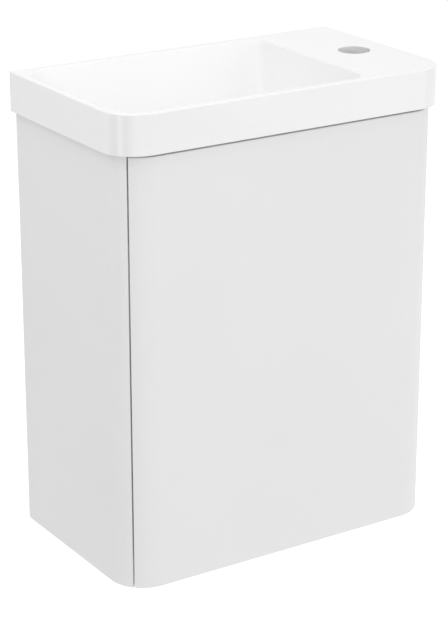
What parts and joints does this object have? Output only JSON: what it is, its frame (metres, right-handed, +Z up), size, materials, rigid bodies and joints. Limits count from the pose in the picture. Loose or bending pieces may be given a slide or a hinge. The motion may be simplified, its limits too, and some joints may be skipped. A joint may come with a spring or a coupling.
{
  "type": "wall-hung washbasin cabinet",
  "caption": "Compact wall-hung washbasin on a white lacquered cabinet with rounded, mitred front corners and a handleless hinged door.",
  "frame": {"origin": "centre of the four wall screw holes, on the wall plane", "axes": "+Z up, +Y into the wall, -Y to the front of the door, +X to the right seen from the front"},
  "size_m": [0.4, 0.225, 0.508],
  "materials": {
    "glaze": "gloss white glaze",
    "white_lacquer": "white satin lacquer on fibreboard",
    "white_board": "white satin foil on fibreboard",
    "white_hardboard": "white painted hardboard",
    "beech": "bare beech",
    "nickel_plate": "nickel plated",
    "zinc_steel": "zinc plated",
    "galvanised_steel": "galvanised",
    "white_plastic": "moulded",
    "ferrite": "ferrite magnet",
    "clear_rubber": "soft buffer"
  },
  "bodies": {
    "carcass": {"basin": "glaze", "side_panel_left": "white_lacquer", "side_panel_right": "white_lacquer", "floor_panel": "white_board", "back_panel": "white_hardboard", "back_rail": "white_board", "shelf": "white_board", "shelf_pins": "zinc_steel", "floor_dowels": "beech", "rail_dowels": "beech", "hinge_arm_upper": "nickel_plate", "hinge_arm_lower": "nickel_plate", "hinge_plate_upper": "nickel_plate", "hinge_plate_lower": "nickel_plate", "plate_screws": "zinc_steel", "arm_screws": "zinc_steel", "catch_body": "white_plastic", "catch_magnet": "ferrite", "catch_screws": "zinc_steel", "door_buffers": "clear_rubber", "hanger_body_left": "white_plastic", "hanger_body_right": "white_plastic", "hanger_hook_left": "galvanised_steel", "hanger_hook_right": "galvanised_steel", "hanger_screws": "zinc_steel", "wall_plate_left": "galvanised_steel", "wall_plate_right": "galvanised_steel"},
    "door": {"door": "white_lacquer", "hinge_cup_upper": "nickel_plate", "hinge_cup_lower": "nickel_plate", "hinge_pin_upper": "zinc_steel", "hinge_pin_lower": "zinc_steel", "cup_screws": "zinc_steel", "strike_plate": "zinc_steel", "strike_screw": "zinc_steel"}
  },
  "joints": [
    {"name": "door_swing", "type": "hinge", "parent": "carcass", "child": "door", "pos_m": [0.1675, -0.2137, 0], "axis": [0, 0, 1], "range_deg": [0, 95]}
  ]
}
